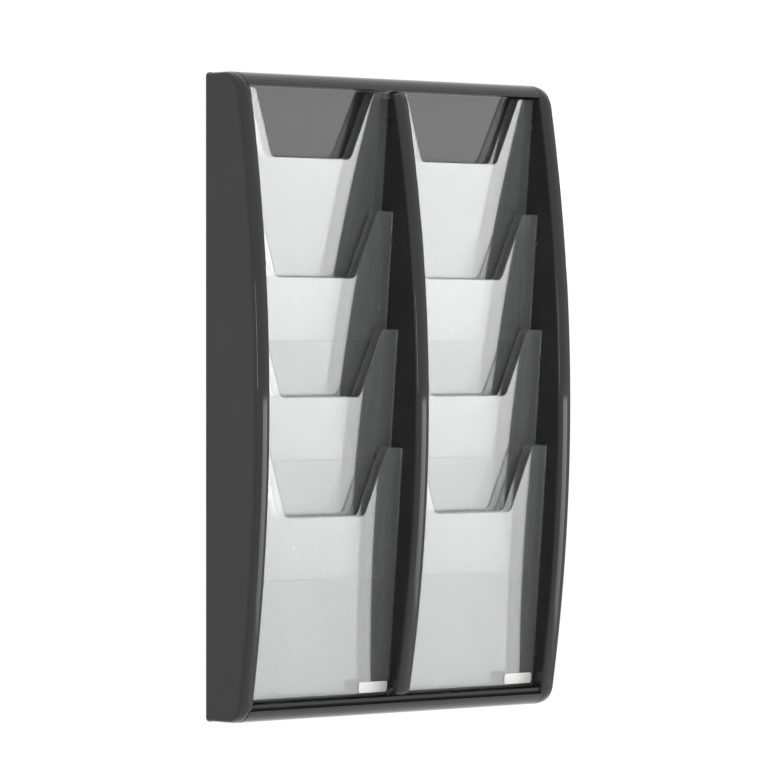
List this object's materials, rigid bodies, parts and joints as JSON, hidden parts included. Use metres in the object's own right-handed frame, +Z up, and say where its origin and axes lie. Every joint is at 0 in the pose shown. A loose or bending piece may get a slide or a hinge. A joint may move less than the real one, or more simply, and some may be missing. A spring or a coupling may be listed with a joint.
{
  "type": "brochure rack",
  "caption": "Wall-mounted brochure rack: clear leaning trays stepped in two columns in a bowed dark frame with side rails, a centre divider and a back panel.",
  "frame": {"origin": "centre of the four wall screw holes, on the rear face of the back panel", "axes": "+X to the viewer's right when facing the rack, +Y into the wall, +Z up"},
  "size_m": [0.494, 0.0955, 0.716],
  "materials": {
    "frame": "glossy black",
    "back_panel": "matt black sheet",
    "clear_tray": "clear polished sheet",
    "peg": "dark satin",
    "screw": "zinc plated",
    "label": "blank pale label"
  },
  "bodies": {
    "root": {"left_rail": "frame", "right_rail": "frame", "centre_divider": "frame", "top_bar": "frame", "bottom_bar": "frame", "back_panel": "back_panel", "tray_left_1": "clear_tray", "tray_left_2": "clear_tray", "tray_left_3": "clear_tray", "tray_left_4": "clear_tray", "tray_right_1": "clear_tray", "tray_right_2": "clear_tray", "tray_right_3": "clear_tray", "tray_right_4": "clear_tray", "pegs_left": "peg", "pegs_centre": "peg", "pegs_right": "peg", "panel_screws": "screw", "bar_screws": "screw", "label_left": "label", "label_right": "label"}
  },
  "joints": []
}
